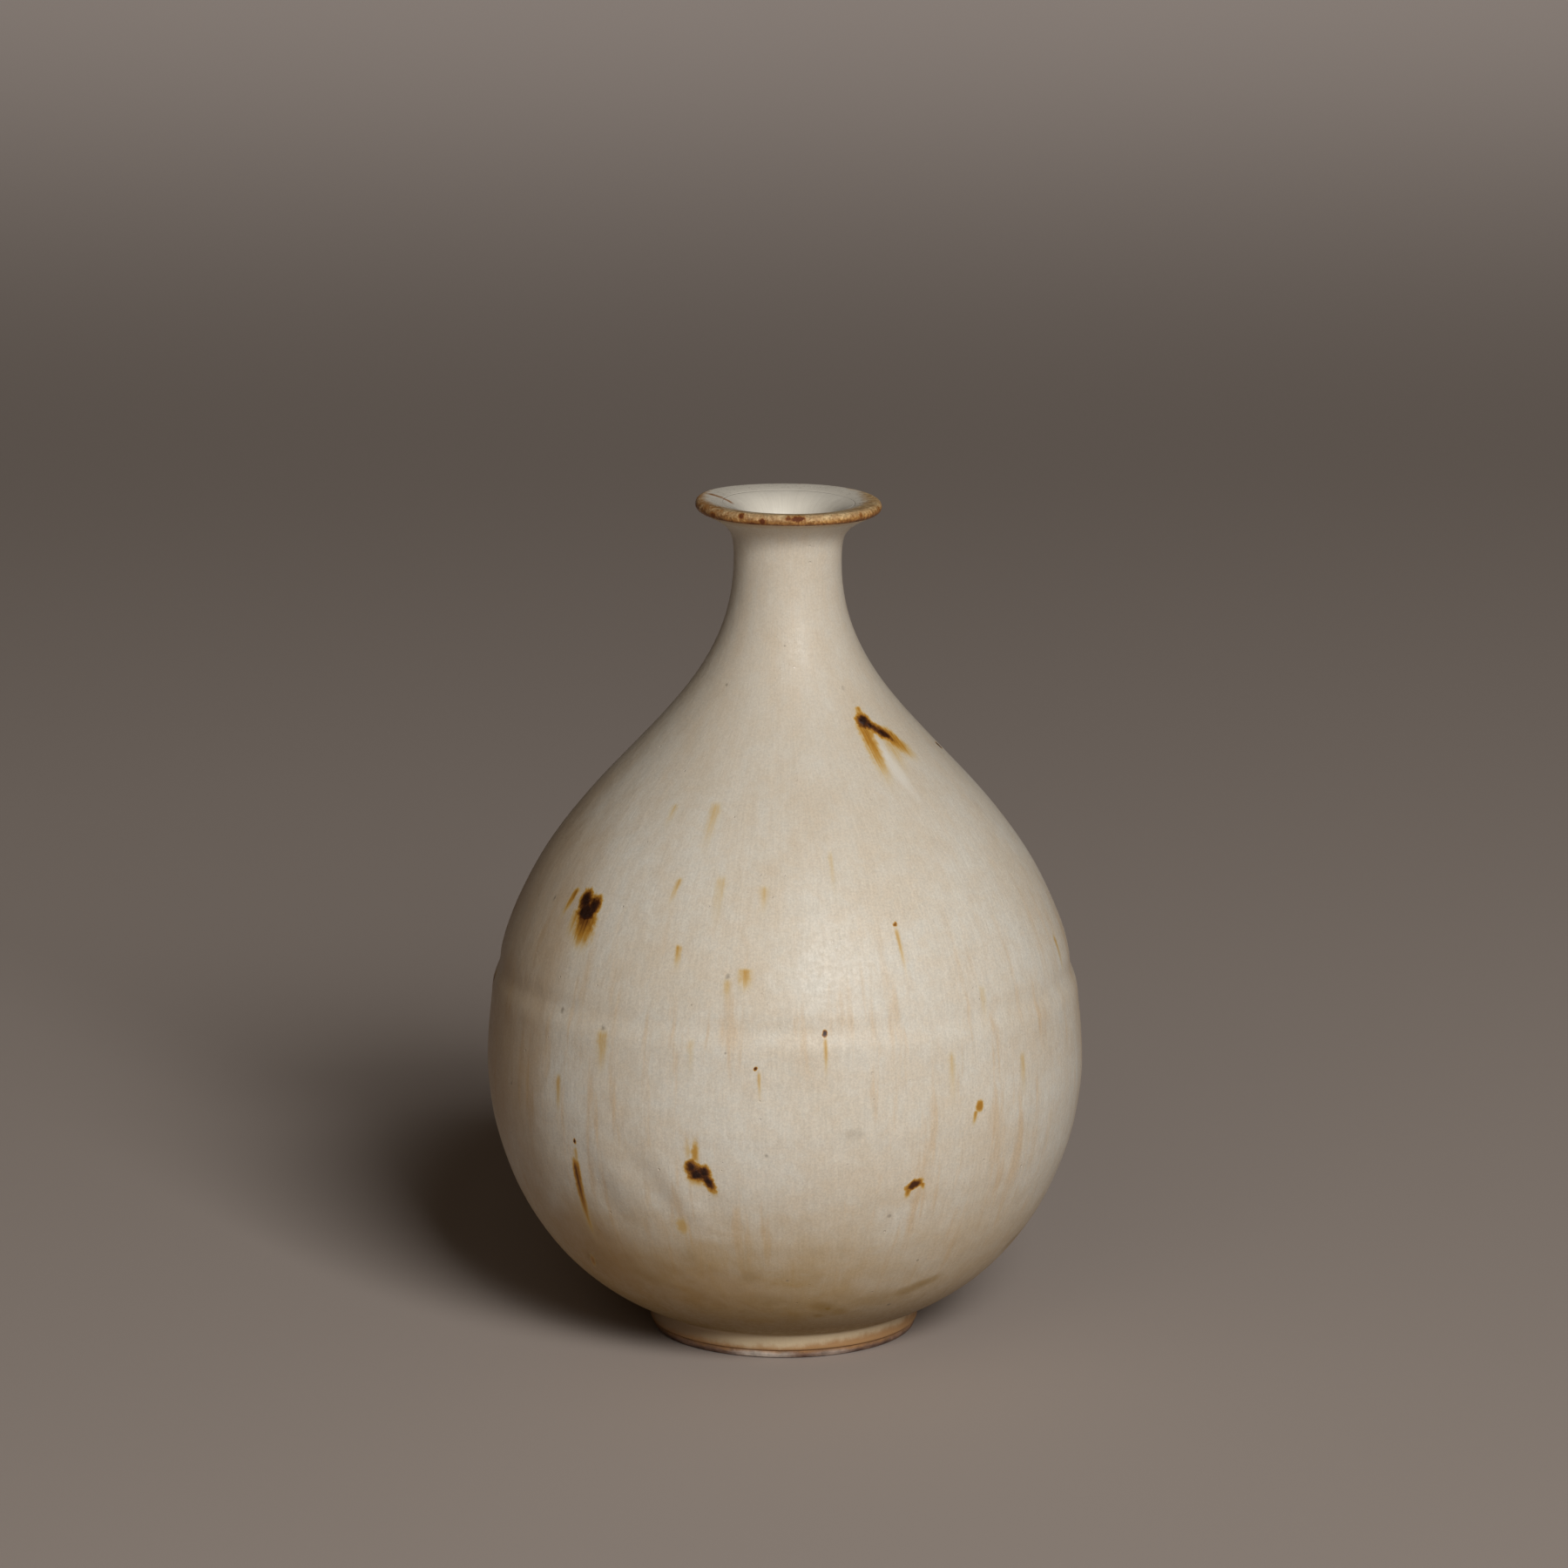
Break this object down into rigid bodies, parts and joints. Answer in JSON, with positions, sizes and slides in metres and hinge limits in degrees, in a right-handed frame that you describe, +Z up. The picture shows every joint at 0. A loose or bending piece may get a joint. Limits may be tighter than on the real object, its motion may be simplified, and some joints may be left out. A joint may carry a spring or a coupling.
{
  "type": "ceramic bud vase",
  "caption": "Round-bellied stoneware bud vase with a narrow straight throat, a flared thin lip and a turned foot ring, glazed inside and out.",
  "frame": {"origin": "centre of the foot ring's resting face, on the surface that the vase stands on", "axes": "+Z up along the axis of the pot; -Y is the side with the darkest iron marks, which faces the viewer"},
  "size_m": [0.127, 0.127, 0.18],
  "materials": {
    "bare_clay": "matte",
    "slip": "matte",
    "oatmeal_glaze": "satin",
    "iron_wash": "satin",
    "lining_glaze": "satin"
  },
  "bodies": {
    "root": {"foot_ring": "bare_clay", "lower_bowl": "bare_clay", "seam_slip": "slip", "shoulder": "bare_clay", "neck": "bare_clay", "lip": "bare_clay", "outer_glaze": "oatmeal_glaze", "rim_wash": "iron_wash", "inner_glaze": "lining_glaze"}
  },
  "joints": []
}
